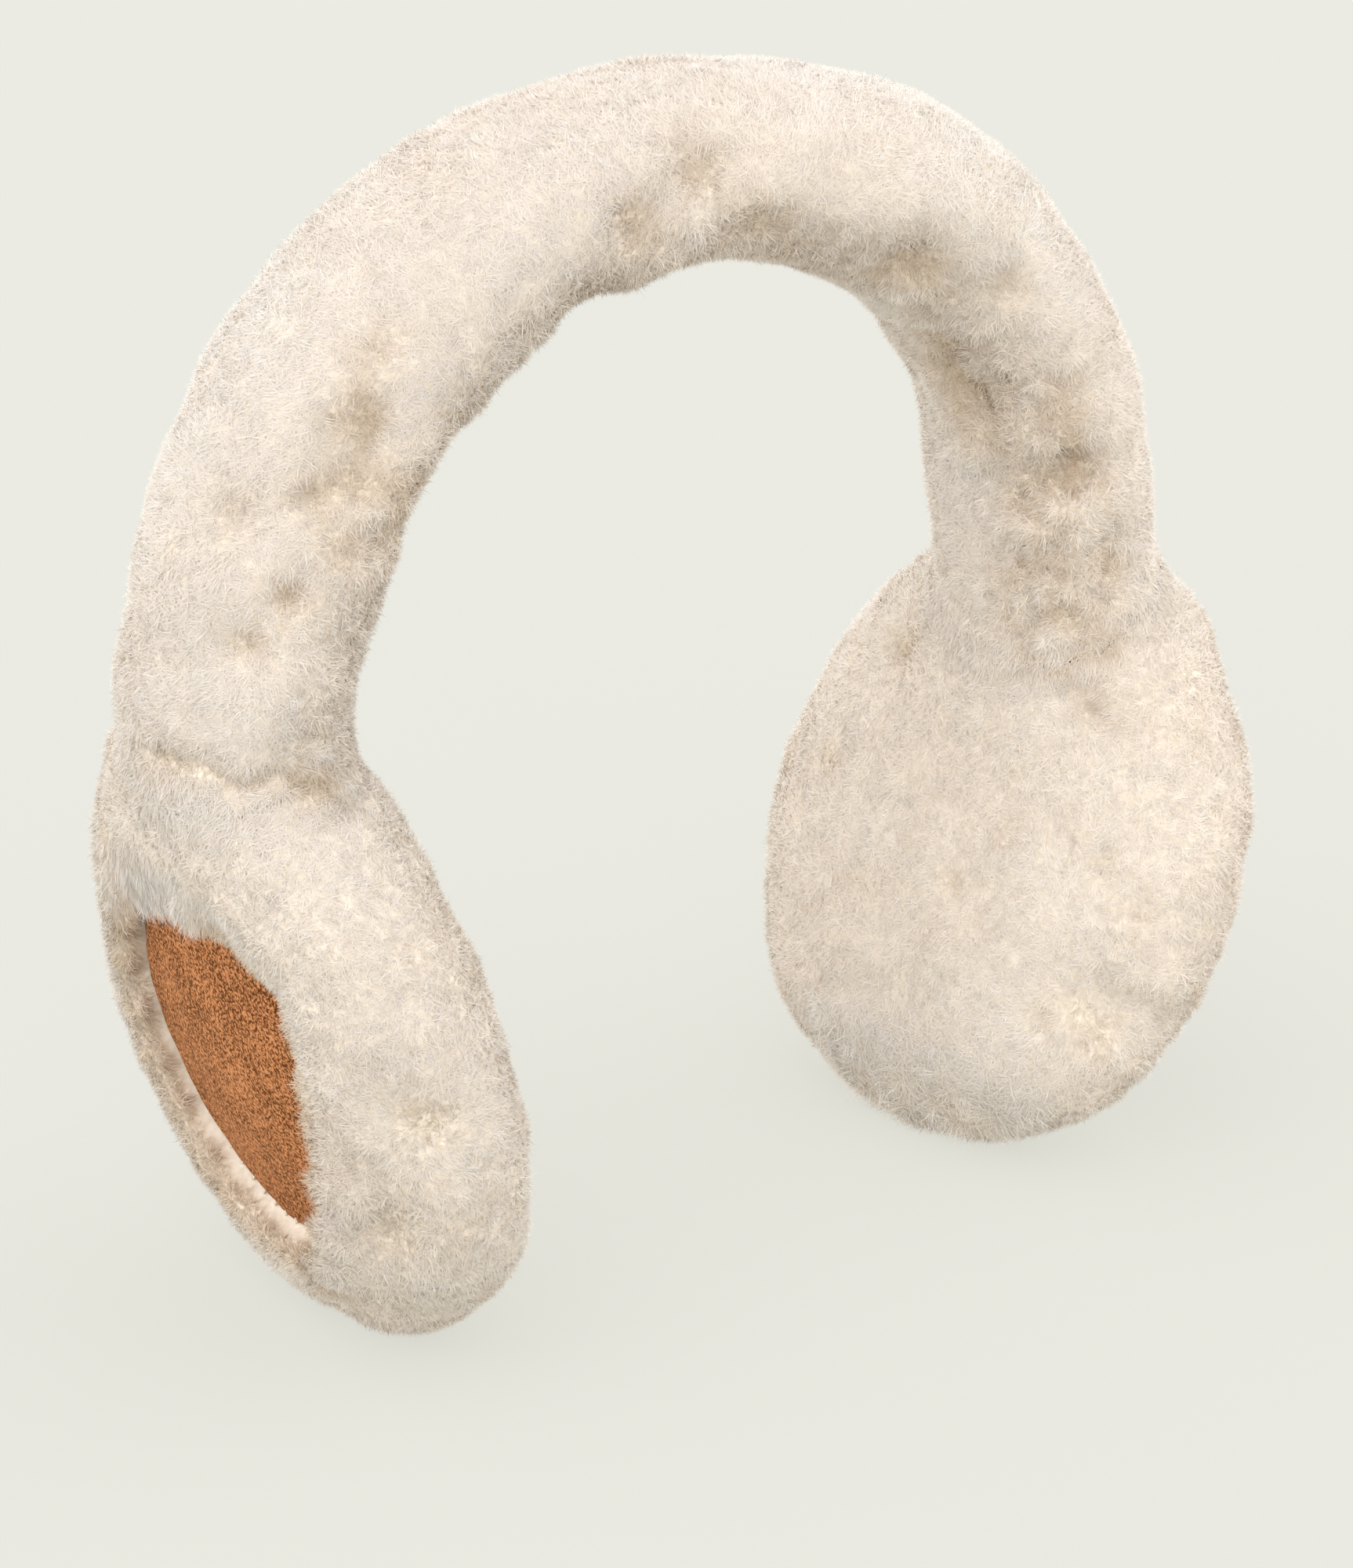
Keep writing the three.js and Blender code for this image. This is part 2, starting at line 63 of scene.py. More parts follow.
# Light and floor
FLOOR_SIZE = 12.0
FLOOR_COLOUR = (0.15, 0.15, 0.139)
FLOOR_GLOW = (0.605, 0.605, 0.557)  # the floor is lit from within as well, like a light table
DOME_LOW = 1.60  # strength of the dome at the horizon
DOME_HIGH = 0.84  # and overhead
LAMPS = {  # soft lamps. place: which way they stand. wide: how wide they look, in degrees
    "key": {"place": Vector((-0.5, -0.75, 1.6)), "strength": 0.38, "wide": 60},
    "side": {"place": Vector((-0.9, -0.7, 0.35)), "strength": 0.92, "wide": 90},
    "fill": {"place": Vector((0.9, -0.6, 0.5)), "strength": 0.50, "wide": 90},
    "back": {"place": Vector((-0.7, 0.5, 0.8)), "strength": 0.6, "wide": 90},
}

# Pile
SKIN_VOXEL = 1.3 * MM  # of the skin under the pile
SKIN_SMOOTH = 10  # steps
SKIN_LOW = 0.4 * MM  # how near the skin comes to the floor
PILE_DEPTH = -0.1 * MM  # from the wool's tips down to the skin
WALL_PILE = 0.5 * MM  # how far the pile stands out of the wall round the suede
BAND_FULLER = 0.7 * MM  # more pile on the outer side of the headband
STRAND_LENGTH = 2.9 * MM
STRAND_WIDTH = 0.20 * MM
STRAND_RISE = 1.0 * MM  # of the tips over the skin
STRAND_ROOT = 0.25 * MM  # how deep the strands root in the skin
STRAND_LOW = 0.15 * MM  # how near the strands come to the floor
TUFT_SIZES = (12 * MM, 5.0 * MM)  # of the lumps and of the small tufts on them
TUFT_HEIGHTS = (1.1 * MM, 0.6 * MM)
SWELLS = ((13 * MM, 0.7 * MM), (6 * MM, 0.7 * MM), (3 * MM, 0.4 * MM))  # size and height
STRAY = 0.55  # how much the strands stray from the lay, beside its length
LOCK_SIZE = 2.2 * MM  # of the strands that cling together
LOCK_ROUND = 1.0  # how far the normals of a lock turn from its middle to its edge
SPECKLE = 0.15  # how tan the odd strand is
PIT_FULL = 2.2 * MM  # how deep a pit is where its wool is shortest and its painted shade, in tan, is darkest
FAR = 20 * MM  # from a solid: no distance past this is told apart
FRINGE_REACH = (0.5 * MM, 1.5 * MM)  # of the skin over the suede: all round, and more on top
RIM_REACH = 12 * MM  # how far out of a suede disc, and past its edge, its rim goes
FRONT_SINK = 2.2 * MM  # how much lower the rim is at its upper front
FRONT_SWELL = 2.4 * MM  # how much fuller it is at its lower front
BAND_STRANDS = 384000
CUP_STRANDS = 196000

# Suede pads
PAD_VOXEL = 1.6 * MM
PAD_SMOOTH = 5  # steps
PAD_PRESSURE = 4.0
PAD_STEPS = 20
PAD_CAP = 1.6 * MM  # how far the filling moves the suede at most
PAD_DIP = 0.9 * MM  # how much lower the pad starts than its solid, for the filling to swell
PAD_LEAN = 1.6 * MM  # how far the filling stands out at the top, and in at the foot
STITCHES = 54
# Share of the disc's radius, and of the turn to the next stitch
STITCH_PATH = ((0.945, 0.0), (0.958, 0.05), (0.975, 0.12), (0.988, 0.18), (0.996, 0.22))
THREAD_RADIUS = 0.26 * MM
THREAD_SIDES = 6
STITCH_DROP = 20 * MM  # how far over the disc the search for the suede starts

# Colours, linear
FELT_DARK = (0.78, 0.68, 0.54)
FELT_LIGHT = (0.90, 0.83, 0.73)
TIP_COLOUR = np.array((0.955, 0.930, 0.900))
WARM_COLOUR = np.array((0.955, 0.903, 0.852))
PALE_COLOUR = np.array((0.945, 0.935, 0.92))
# The roots' own tan, also the colour of the painted shade in hollows
ROOT_AND_PAINTED_SHADE_COLOUR = np.array((0.66, 0.50, 0.33))
LIGHT_THROUGH = 0.12  # share of the light that passes a strand
PAINTED_LIGHT_TONES = (0.94, 1.045)  # painted light: tone of the wool at the left end, made darker, and at the right end, made lighter, for how the light falls there
SUEDE_DARK = (0.105, 0.034, 0.009)
SUEDE_LIGHT = (0.60, 0.25, 0.100)
THREAD_DARK = (0.70, 0.58, 0.42)
THREAD_LIGHT = (0.90, 0.82, 0.68)

# Pits and partings that break the pile, from the photograph. place: on the surface. reach:
# radius. deep: at the middle
PITS = {
    BAND: [
        {"place": (-69.4, -22.3, 155.3), "reach": 4.0, "deep": 2.6},
        {"place": (-72.5, -23.0, 146.8), "reach": 4.5, "deep": 2.2},
        {"place": (-78.9, -20.7, 144.7), "reach": 3.0, "deep": 2.2},
        {"place": (-87.2, -13.2, 141.4), "reach": 5.0, "deep": 1.2},
        {"place": (-75.9, -24.8, 137.9), "reach": 3.2, "deep": 1.8},
        {"place": (-84.3, -22.5, 130.5), "reach": 2.6, "deep": 2.6},
        {"place": (-89.3, -20.1, 123.4), "reach": 3.0, "deep": 1.8},
        {"place": (-66.0, -21.2, 165.3), "reach": 3.2, "deep": 1.6},
        {"place": (-9.4, -20.5, 182.8), "reach": 4.5, "deep": 1.9},
        {"place": (-20.7, -22.2, 176.7), "reach": 5.0, "deep": 2.0},
        {"place": (3.8, -20.8, 173.9), "reach": 4.0, "deep": 1.2},
        {"place": (34.5, -19.7, 162.3), "reach": 6.0, "deep": 1.5},
        {"place": (49.6, -22.7, 156.6), "reach": 4.0, "deep": 1.4},
        {"place": (51.5, -6.2, 137.1), "reach": 5.0, "deep": 2.0},
        {"place": (54.6, -9.7, 131.4), "reach": 6.0, "deep": 1.8},
        {"place": (65.8, -21.0, 120.7), "reach": 4.0, "deep": 3.0},
        {"place": (60.3, -15.6, 116.2), "reach": 2.6, "deep": 2.2},
        {"place": (46.3, -7.6, 144.4), "reach": 4.0, "deep": 1.6},
        {"place": (63.3, -19.5, 105.3), "reach": 4.0, "deep": 1.2},
        {"place": (59.3, -10.7, 94.4), "reach": 2.6, "deep": 1.0},
    ],
    "left_ear_cup": [
        {"place": (-78.0, -47.7, 50.8), "reach": 3.5, "deep": 1.8},
        {"place": (-79.3, -38.8, 30.4), "reach": 4.5, "deep": 1.3},
        {"place": (-78.2, -21.0, 12.5), "reach": 4.0, "deep": 2.0},
    ],
    "right_ear_cup": [
        {"place": (62.6, 18.1, 78.7), "reach": 4.0, "deep": 2.4},
        {"place": (67.2, -25.9, 80.4), "reach": 3.0, "deep": 1.5},
        {"place": (57.9, -41.1, 27.7), "reach": 2.6, "deep": 1.5},
        {"place": (55.8, -37.6, 33.3), "reach": 3.0, "deep": 1.2},
        {"place": (51.7, -34.3, 30.9), "reach": 2.6, "deep": 1.1},
        {"place": (61.9, -45.7, 50.5), "reach": 3.0, "deep": 1.1},
        {"place": (60.5, -38.3, 57.4), "reach": 2.2, "deep": 0.9},
        {"place": (50.3, -10.7, 48.2), "reach": 2.0, "deep": 1.2},
        {"place": (54.6, -19.6, 58.7), "reach": 2.2, "deep": 0.9},
        {"place": (46.7, 10.4, 41.9), "reach": 2.6, "deep": 0.9},
        {"place": (53.0, 27.4, 58.4), "reach": 2.6, "deep": 1.1},
        {"place": (47.8, -19.3, 8.2), "reach": 2.6, "deep": 1.6},
        {"place": (45.5, -8.2, 6.3), "reach": 2.2, "deep": 1.2},
        {"place": (43.4, 3.5, 7.9), "reach": 2.4, "deep": 1.3},
    ],
}

# Where the wool hangs long and clots
SHAGGY = {
    "right_ear_cup": [
        {"place": (42.6, 8.3, 10.1), "reach": 11.0},
        {"place": (45.5, -8.0, 7.3), "reach": 12.0},
        {"place": (48.8, -26.1, 9.5), "reach": 10.0},
    ],
}

# Where the headband grows into each cup. blend: how far round the seam the skin is smoothed.
# fill: how far it is raised there. The crease shows at the left one
SEAMS = {
    "left": {"blend": 10 * MM, "fill": 0.3 * MM},
    "right": {"blend": 16 * MM, "fill": 1.1 * MM},
}
BLEND_STEPS = 80
RIM_BLEND = 0.25  # how much the rim round the suede is smoothed, beside the seams

# The crease over the left cup, as a pit along a line
CREASE = {"reach": 1.8, "deep": 1.9}
CREASE_LINE = (
    (-99.3, -3.7, 103.2), (-98.9, -8.8, 103.5), (-97.7, -14.4, 104.0), (-95.5, -18.1, 103.5),
    (-93.4, -21.0, 101.3), (-91.9, -22.5, 102.0), (-90.2, -23.4, 102.9), (-88.2, -24.6, 104.3),
    (-85.8, -25.1, 100.9), (-83.0, -24.7, 100.5), (-80.3, -25.9, 98.7), (-77.7, -27.0, 97.2),
)

# Where the wool of each cup parts, and the strands run away from
CUP_CROWNS = {
    "left_ear_cup": Vector((-78.0, -47.7, 50.8)) * MM,
    "right_ear_cup": Vector((57.9, -39.3, 32.5)) * MM,
}

# A skin's vertices, their normals, its own triangles, and how far each vertex is from the next
# nearest solid
Skin = namedtuple("Skin", "places normals triangles apart")


def scatter(cells, seed):
    """A fixed scattered share from 0 to 1 for each row of whole numbers."""
    rows = cells.astype(np.int64).astype(np.uint64)
    mixed = rows @ np.array([73856093, 19349663, 83492791], np.uint64) + np.uint64(seed * 977 + 1)
    for shift, factor in ((33, 0xFF51AFD7ED558CCD), (29, 0xC4CEB9FE1A85EC53)):
        mixed = (mixed ^ (mixed >> np.uint64(shift))) * np.uint64(factor)
    return (mixed >> np.uint64(40)) / float(1 << 24)


def drift(points, size, seed):
    """Smooth noise from -1 to 1, with swells about size across."""
    spots = points / size
    low = np.floor(spots)
    share = spots - low
    share = share * share * (3 - 2 * share)
    total = np.zeros(len(points))
    for corner in np.ndindex(2, 2, 2):
        weight = np.where(np.array(corner, bool), share, 1 - share).prod(1)
        total += weight * scatter(low + corner, seed)
    return 2 * total - 1


def tufts(points, size, seed):
    """The middle of the tuft that each point is in, and the share of the way from the
    parting with the next tuft, where it is 0, to that middle, where it is about 1."""
    strays = np.stack([drift(points, size * 0.7, seed + k) for k in range(3)], 1)
    spots = points / size + 0.28 * strays
    low = np.floor(spots)
    near = np.full(len(points), 9.0)
    beyond = near.copy()
    middle = np.zeros_like(points)
    for step in np.ndindex(3, 3, 3):
        cell = low + np.array(step) - 1
        place = cell + np.stack([scatter(cell, seed + k) for k in range(3)], 1)
        away = np.linalg.norm(place - spots, axis=1)
        closer = away < near
        beyond = np.where(closer, near, np.minimum(beyond, away))
        near = np.where(closer, away, near)
        middle[closer] = place[closer]
    return middle * size, np.clip(beyond - near, 0, 1)


def unit(rows):
    """Rows brought to length 1."""
    return rows / np.maximum(np.linalg.norm(rows, axis=1, keepdims=True), 1e-12)


def along_skin(rows, normals):
    """Rows with what stands off the skin taken out."""
    return rows - (rows * normals).sum(1, keepdims=True) * normals


def smooth_step(values, low, high):
    """From 0 at low to 1 at high, with soft ends."""
    share = np.clip((values - low) / (high - low), 0, 1)
    return share * share * (3 - 2 * share)


def read(mesh):
    """Vertices, their normals and the triangles of a mesh, as arrays."""
    places = np.empty(len(mesh.vertices) * 3, np.float32)
    mesh.vertices.foreach_get("co", places)
    normals = np.empty(len(mesh.vertices) * 3, np.float32)
    mesh.vertices.foreach_get("normal", normals)
    mesh.calc_loop_triangles()
    triangles = np.empty(len(mesh.loop_triangles) * 3, np.int32)
    mesh.loop_triangles.foreach_get("vertices", triangles)
    return [a.reshape(-1, 3) for a in (places.astype(float), normals.astype(float), triangles)]


def move_to(mesh, places):
    """Puts a mesh's vertices in their places."""
    mesh.vertices.foreach_set("co", places.astype(np.float32).ravel())
    mesh.update()


def add_piece(name, mesh, material):
    """A named piece of the visual model, on the body that doesn't move."""
    piece = bpy.data.objects.new(name, mesh)
    bpy.context.scene.collection.objects.link(piece)
    mesh.materials.append(material)
    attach(piece, "root")
    return piece


def apply_modifiers(piece):
    """Makes a piece's modifiers part of its mesh."""
    bpy.context.view_layer.update()
    evaluated = piece.evaluated_get(bpy.context.evaluated_depsgraph_get())
    piece.data = bpy.data.meshes.new_from_object(evaluated)
    piece.data.name = piece.name
    piece.modifiers.clear()


def remesh(piece, voxel, steps):
    """Remeshes a piece, and smooths its facets away."""
    voxels = piece.modifiers.new("remesh", "REMESH")
    voxels.mode = "VOXEL"
    voxels.voxel_size = voxel
    smooth = piece.modifiers.new("smooth", "SMOOTH")
    smooth.factor = 0.5
    smooth.iterations = steps
    apply_modifiers(piece)


def off_crease(points):
    """The way to each point from the nearest place on the crease."""
    line = np.array(CREASE_LINE) * MM
    nearest_off = np.full_like(points, 1.0)
    for start, end in zip(line, line[1:]):
        ahead = end - start
        share = np.clip((points - start) @ ahead / (ahead @ ahead), 0, 1)[:, None]
        off = points - start - share * ahead
        closer = (off**2).sum(1) < (nearest_off**2).sum(1)
        nearest_off[closer] = off[closer]
    return nearest_off


def pits_at(node, points):
    """How deep the pits and the crease of a node are at each point, and the way out of
    them."""
    depth = np.zeros(len(points))
    way = np.zeros_like(points)
    ragged = 1 + 0.4 * drift(points, 5 * MM, 71) + 0.25 * drift(points, 2 * MM, 73)
    hollows = [(points - np.array(pit["place"]) * MM, pit) for pit in PITS[node]]
    hollows.append((off_crease(points), CREASE))
    for off, form in hollows:
        share = np.linalg.norm(off, axis=1) * ragged / (form["reach"] * MM)
        depth += 0.75 * form["deep"] * MM * np.exp(-share**2)
        way += unit(off) * (share * np.exp(-((share / 1.3) ** 2)))[:, None]
    return depth, way


def lumpiness(node, points):
    """How lumpy the pile is, from 0 where it lies smooth to 1."""
    patches = 0.5 + 0.5 * drift(points, 38 * MM, 5)
    if node != BAND:
        return 0.25 + 0.45 * patches
    inner = 1 - smooth_step(arch_out(points)[1], -0.1, 0.7)
    front = smooth_step(-points[:, 1], 4 * MM, 18 * MM)
    return np.clip(0.12 + 0.3 * patches + (0.65 * front + 0.15) * inner, 0, 1)


def arch_out(points):
    """The direction out of the headband's arch at each point, and how far towards the
    outer side of the band the point is: 1 at its outer ridge, -1 at its inner one."""
    low, high = (np.array(corner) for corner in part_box("headband_sleeve"))
    hub = np.array(((low[0] + high[0]) / 2, 0, low[2] + 6 * MM))
    spokes = (points - hub) * (1, 0, 1)
    reach = np.linalg.norm(spokes, axis=1)
    middle = (high[0] - low[0]) / 2 - 17 * MM
    return unit(spokes), np.clip((reach - middle) / (16 * MM), -1, 1)


def billows(node, points):
    """How high the pile stands over its mean height: soft swells with lumps and tufts."""
    height = sum(rise * drift(points, size, 91) for size, rise in SWELLS)
    for size, rise, seed in zip(TUFT_SIZES, TUFT_HEIGHTS, (11, 23)):
        height += rise * (np.sqrt(tufts(points, size, seed)[1]) - 0.6)
    return height * lumpiness(node, points)


def nearest(node, places):
    """How far places are from a node's solid."""
    corners, _, triangles = read(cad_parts[node].data)
    tree = BVHTree.FromPolygons(corners.tolist(), triangles.tolist())
    found = (tree.find_nearest(place, FAR)[3] for place in places)
    return np.array([FAR if away is None else away for away in found])


def fused_mesh():
    """The solids of the headband and the cups as one closed mesh, with the facets smoothed
    away."""
    corners, triangles = [], []
    for node in FUR_NODES:
        places, _, faces = read(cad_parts[node].data)
        triangles.append(faces + sum(map(len, corners)))
        corners.append(places)
    mesh = bpy.data.meshes.new("fur_body")
    mesh.from_pydata(np.concatenate(corners).tolist(), [], np.concatenate(triangles).tolist())
    body = bpy.data.objects.new("fur_body", mesh)
    bpy.context.scene.collection.objects.link(body)
    remesh(body, SKIN_VOXEL, SKIN_SMOOTH)
    mesh = body.data
    bpy.data.objects.remove(body)
    return mesh


def seam_distance(away, side):
    """How far vertices are from the seam between the headband and a cup."""
    return np.maximum(away[BAND], away[f"{side}_ear_cup"])


def blend_seams(mesh, away):
    """Smooths the headband and the cups into each other, and the rims round the suede."""
    places, _, triangles = read(mesh)
    weight = np.zeros(len(places))
    for side, seam in SEAMS.items():
        disc = f"{side}_suede_disc"
        top = rim_sides(round_disc(disc, places)[2])[0]
        weight += 1 - smooth_step(seam_distance(away, side), 0.3 * seam["blend"], seam["blend"])
        weight += RIM_BLEND * round_rim(disc, places) * (1 - top)
    start = np.concatenate([triangles[:, k] for k in (0, 1, 2)])
    end = np.concatenate([triangles[:, k] for k in (1, 2, 0)])
    near = weight[start] + weight[end] > 0
    start, end = np.concatenate([start[near], end[near]]), np.concatenate([end[near], start[near]])
    count = np.maximum(np.bincount(start, minlength=len(places)), 1)[:, None]
    for _ in range(BLEND_STEPS):
        total = np.stack([np.bincount(start, places[end, k], len(places)) for k in range(3)], 1)
        places += 0.5 * weight[:, None] * (total / count - places)
    move_to(mesh, places)


def pile_lift(node, places, normals, away):
    """How far the skin under the pile of a node stands out from its smoothed solid."""
    seam = 1 - smooth_step(away, 0, 6 * MM)
    lift = billows(node, places) * (1 - seam) - pits_at(node, places)[0]
    if node == BAND:
        fuller = BAND_FULLER * smooth_step(arch_out(places)[1], -0.6, 0.6)
        return lift - PILE_DEPTH + fuller * (1 - seam)
    span, out, radial = round_disc(node.replace("ear_cup", "suede_disc"), places)
    wall = smooth_step(-(normals * radial).sum(1), 0.2, 0.8) * (span < 6 * MM)
    inside = (1 - smooth_step(span, 0, 3 * MM)) * (out < 8 * MM)
    lift = (lift - PILE_DEPTH) * (1 - inside)
    return lift + WALL_PILE * wall * smooth_step(out, 1 * MM, 3 * MM)


def off_the_suede(disc, points):
    """Moves the rim round a suede disc back to the fringe's reach, down at its upper front
    and out at its lower front."""
    span, out, radial = round_disc(disc, points)
    top, upper_front, lower_front = rim_sides(radial)
    over = np.maximum(-(FRINGE_REACH[0] + FRINGE_REACH[1] * top) - span, 0)
    over *= (out > 0) & (out < RIM_REACH)
    sink = (FRONT_SINK * upper_front - FRONT_SWELL * lower_front) * round_rim(disc, points)
    return radial * over[:, None] - np.outer(sink, disc_frame(disc)[1])


def fur_skins():
    """The skin that the pile of each fur node stands on: the fused solids, raised in tufts
    and sunk in pits, and shared out between the nodes."""
    mesh = fused_mesh()
    away = {node: nearest(node, read(mesh)[0]) for node in FUR_NODES}
    blend_seams(mesh, away)
    places, normals, _ = read(mesh)
    owner = np.argmin([away[node] for node in FUR_NODES], 0)
    others = np.sort([away[node] for node in FUR_NODES], 0)[1]
    lift = np.zeros(len(places))
    for k, node in enumerate(FUR_NODES):
        own = owner == k
        lift[own] = pile_lift(node, places[own], normals[own], others[own])
    for side, seam in SEAMS.items():
        lift += seam["fill"] * np.exp(-((seam_distance(away, side) / (5 * MM)) ** 2))
    places += normals * lift[:, None]
    for side in SEAMS:
        places += off_the_suede(f"{side}_suede_disc", places)
    places[:, 2] = np.maximum(places[:, 2], SKIN_LOW)
    move_to(mesh, places)
    places, normals, triangles = read(mesh)
    owner = np.argmin([away[node][triangles].sum(1) for node in FUR_NODES], 0)
    return {
        node: Skin(places, normals, triangles[owner == k], others)
        for k, node in enumerate(FUR_NODES)
    }


def add_felt(node, skin, material):
    """The felted skin of one node, closed where it meets its neighbour."""
    used, faces = np.unique(skin.triangles, return_inverse=True)
    mesh = bpy.data.meshes.new(node.replace("sleeve", "fur").replace("cup", "cup_fur"))
    mesh.from_pydata(skin.places[used].tolist(), [], faces.reshape(-1, 3).tolist())
    shape = bmesh.new()
    shape.from_mesh(mesh)
    rim = [edge for edge in shape.edges if edge.is_boundary]
    caps = bmesh.ops.holes_fill(shape, edges=rim, sides=0)["faces"]
    bmesh.ops.triangulate(shape, faces=caps)
    shape.to_mesh(mesh)
    shape.free()
    mesh.shade_smooth()
    piece = add_piece(mesh.name, mesh, material)
    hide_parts(node)


def lay_of_band(points, normals):
    """Direction in which the headband's wool lies: from the outer ridge over its front,
    where it meets wool that lies the other way, and a little down its arms."""
    spokes, outer = arch_out(points)
    ahead = np.cross(spokes, (0.0, 1.0, 0.0))
    down = ahead * np.sign(points[:, :1]) * -0.1 + (0, 0, -0.1)
    over = 0.5 * smooth_step(outer, -0.7, 0.8)[:, None] - 0.2
    return along_skin(np.cross(ahead, normals) * over + down, normals)


def disc_frame(node):
    """Middle of a suede disc, its outward axis, and the two axes across it with their
    radii."""
    points = read(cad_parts[node].data)[0]
    middle = points.mean(0)
    axes = np.linalg.eigh(np.cov((points - middle).T))[1]
    axis = axes[:, 0] * np.sign(axes[0, 0] * middle[0])
    return middle, axis, axes[:, 1:], np.abs((points - middle) @ axes[:, 1:]).max(0)


def round_disc(node, points):
    """How far points are outside a suede disc's edge, how far out along its axis, and the
    direction from the axis to them."""
    middle, axis, across, radii = disc_frame(node)
    off = points - middle
    out = off @ axis
    share = np.linalg.norm(off @ across / radii, axis=1)
    radial = off - np.outer(out, axis)
    return (share - 1) * radii.mean(), out, unit(radial)


def lay_of_cup(node, points, normals):
    """Direction in which a cup's wool lies: away from its crown, and in over the edge of
    the opening."""
    disc = node.replace("ear_cup", "suede_disc")
    span, out, radial = round_disc(disc, points)
    axis = disc_frame(disc)[1]
    from_crown = points - np.array(CUP_CROWNS[node])
    apart = np.linalg.norm(from_crown, axis=1)
    near_crown = 1 - smooth_step(apart, 5 * MM, 20 * MM)[:, None]
    whorl = unit(along_skin(from_crown, normals)) + np.cross(normals, unit(from_crown)) * 0.45
    hanging = along_skin(unit(from_crown) * 0.12 + (0, 0, -0.15), normals)
    combed = whorl * near_crown * smooth_step(apart, 0, 4 * MM)[:, None] * 0.3
    combed += hanging * (1 - near_crown)
    inward = along_skin(-radial - axis * 0.8 + (0, 0, -0.35), normals)
    top, upper_front, _ = rim_sides(radial)
    share = 1.3 * round_rim(disc, points) * (0.2 + 0.8 * smooth_step(radial[:, 2], 0.2, 0.9))
    share *= 1 - 0.6 * upper_front * (1 - top)
    return combed * (1 - np.minimum(share, 1)[:, None]) + inward * share[:, None]


def round_rim(disc, points):
    """How near points are to the crest of the rim round a suede disc, from 0 to 1."""
    span, out, _ = round_disc(disc, points)
    return smooth_step(out, -6 * MM, 2 * MM) * (1 - smooth_step(span, 4 * MM, RIM_REACH))


def rim_sides(radial):
    """How near directions from a suede disc's axis are to the top of the rim, where the
    fringe hangs long, to its upper front, where it is short, and to its lower front, where
    the wool is full, from 0 to 1."""
    top = smooth_step(radial[:, 2], 0.7, 0.9) * smooth_step(radial[:, 1], -0.35, -0.05)
    upper_front = smooth_step(-radial[:, 1], 0.1, 0.45) * smooth_step(radial[:, 2], 0.2, 0.6)
    lower_front = smooth_step(-radial[:, 1], 0.1, 0.5) * smooth_step(-radial[:, 2], -0.25, 0.2)
    return top, upper_front, lower_front


def shagginess(node, points):
    """How long and clotted the wool hangs, from 0 to 1."""
    share = np.zeros(len(points))
    for spot in SHAGGY.get(node, ()):
        away = np.linalg.norm(points - np.array(spot["place"]) * MM, axis=1)
        share += np.exp(-((away / (spot["reach"] * MM)) ** 2))
    return np.clip(share, 0, 1)


def roots_on(skin, count, weigh, seed):
    """Roots scattered over a skin, their triangles' vertices, and the share of each in
    the root. weigh: how dense they are at each vertex."""
    corners = skin.places[skin.triangles]
    edges = corners[:, 1:] - corners[:, :1]
    areas = np.linalg.norm(np.cross(edges[:, 0], edges[:, 1]), axis=1)
    areas = areas * weigh[skin.triangles].min(1)
    draw = np.random.default_rng(seed)
    steps = (np.arange(count) + draw.random(count)) / count * areas.sum()
    chosen = skin.triangles[np.minimum(np.searchsorted(np.cumsum(areas), steps), len(areas) - 1)]
    a, b = draw.random((2, count, 1))
    a, b = np.where(a + b > 1, 1 - a, a), np.where(a + b > 1, 1 - b, b)
    shares = np.concatenate([1 - a - b, a, b], 1)[:, :, None]
    points = (skin.places[chosen] * shares).sum(1)
    return points, unit((skin.normals[chosen] * shares).sum(1)), chosen, shares, draw


def strand_ways(roots, normals, combed, out_of_pits, seam, draw):
    """Which way each strand lies along the skin: combed, hanging at the seams, out of the
    pits, and astray."""
    strays = draw.normal(0, STRAY, roots.shape)
    strays += 0.4 * np.stack([drift(roots, 5 * MM, 31 + k) for k in range(3)], 1)
    strays += 0.25 * np.stack([drift(roots, 14 * MM, 37 + k) for k in range(3)], 1)
    hanging = np.array((0, 0, -0.7)) * seam
    direction = combed * (1 - seam) + hanging + out_of_pits * 0.35 + strays
    return unit(along_skin(direction, normals))


def strand_sizes(full, lumpy, core, sunk, draw):
    """How long the strands are, and how far their tips rise from the skin."""
    length = STRAND_LENGTH * full * (1 - 0.15 * lumpy) * (1 - 0.4 * sunk)
    length *= draw.uniform(0.6, 1.35, len(core))
    rise = STRAND_RISE * (0.6 + 0.6 * lumpy * np.sqrt(core)) * (1 + 0.4 * sunk)
    rise *= draw.uniform(0.4, 1.5, len(core))
    return length, np.where(draw.random(len(core)) < 0.02, rise * 1.6, rise)


